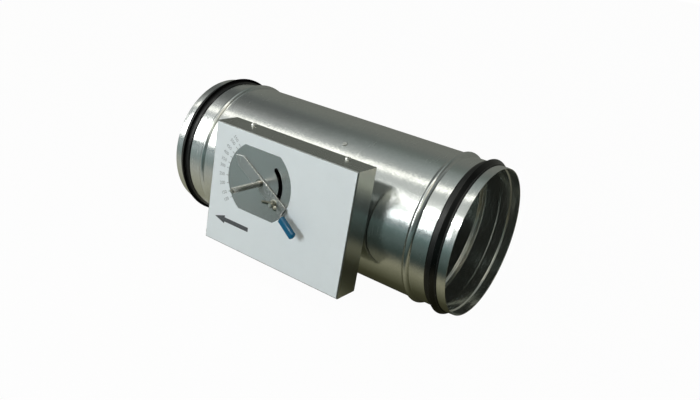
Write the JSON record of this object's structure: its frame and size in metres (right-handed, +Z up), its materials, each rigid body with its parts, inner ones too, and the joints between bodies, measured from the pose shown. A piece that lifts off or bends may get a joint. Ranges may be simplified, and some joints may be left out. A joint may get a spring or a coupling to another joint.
{
  "type": "constant airflow regulator",
  "caption": "Round duct section with rubber-sealed spigots and a side control box, whose clamped lever tensions a spring on a pivoting damper blade to hold a constant airflow.",
  "frame": {"origin": "centre of the inlet mouth, on the duct axis, in the plane of the inlet rim", "axes": "+X out of the inlet along the duct axis, against the airflow; +Z up; the control box is on the -Y side"},
  "size_m": [0.364, 0.2379, 0.1668],
  "materials": {
    "galvanised_tube": "bright galvanised sheet",
    "galvanised_sheet": "galvanised sheet",
    "seal_rubber": "matt moulded rubber",
    "label_film": "printed film",
    "shaft_steel": "bright drawn steel",
    "lever_steel": "zinc plated",
    "grip_plastic": "soft dipped sleeve",
    "zinc_fixings": "zinc plated",
    "wing_zinc": "yellow passivated zinc",
    "bush_plastic": "natural bearing plastic",
    "damper_plastic": "moulded",
    "spring_steel": "drawn wire"
  },
  "bodies": {
    "casing": {"duct_casing": "galvanised_tube", "inlet_seal": "seal_rubber", "outlet_seal": "seal_rubber", "front_bush": "bush_plastic", "rear_bush": "bush_plastic", "base_plate": "galvanised_sheet", "plate_rivets": "zinc_fixings", "casing_plug": "zinc_fixings", "stop_pins": "shaft_steel", "damper_housing": "damper_plastic", "damper_lid": "damper_plastic", "damper_screws": "zinc_fixings", "control_cover": "galvanised_sheet", "cover_screws": "zinc_fixings", "scale_label": "label_film"},
    "blade": {"damper_blade": "galvanised_sheet", "blade_straps": "galvanised_sheet", "blade_rivets": "zinc_fixings", "blade_shaft": "shaft_steel", "damper_rotor": "damper_plastic", "spring_crank": "shaft_steel", "crank_screw": "zinc_fixings"},
    "lever": {"setting_lever": "lever_steel", "lever_grip": "grip_plastic", "setting_hub": "shaft_steel", "clamp_bolt": "zinc_fixings", "clamp_washer": "zinc_fixings", "torsion_spring": "spring_steel"},
    "nut": {"wing_nut": "wing_zinc"}
  },
  "joints": [
    {"name": "blade_turn", "type": "hinge", "parent": "casing", "child": "blade", "pos_m": [-0.2048, 0, 0.0167], "axis": [0, 1, 0], "range_deg": [0, 68], "stiffness_Nm_per_rad": 0.06, "springref_deg": -57.3, "deforming": ["torsion_spring"]},
    {"name": "lever_turn", "type": "hinge", "parent": "casing", "child": "lever", "pos_m": [-0.2048, -0.1125, 0.0167], "axis": [0, -1, 0], "range_deg": [-10.5, 80.5], "deforming": ["torsion_spring"]},
    {"name": "wing_nut_turn", "type": "hinge", "parent": "lever", "child": "nut", "pos_m": [-0.18308, -0.118, 0.00205], "axis": [0, -1, 0], "range_deg": [0, 360]}
  ]
}
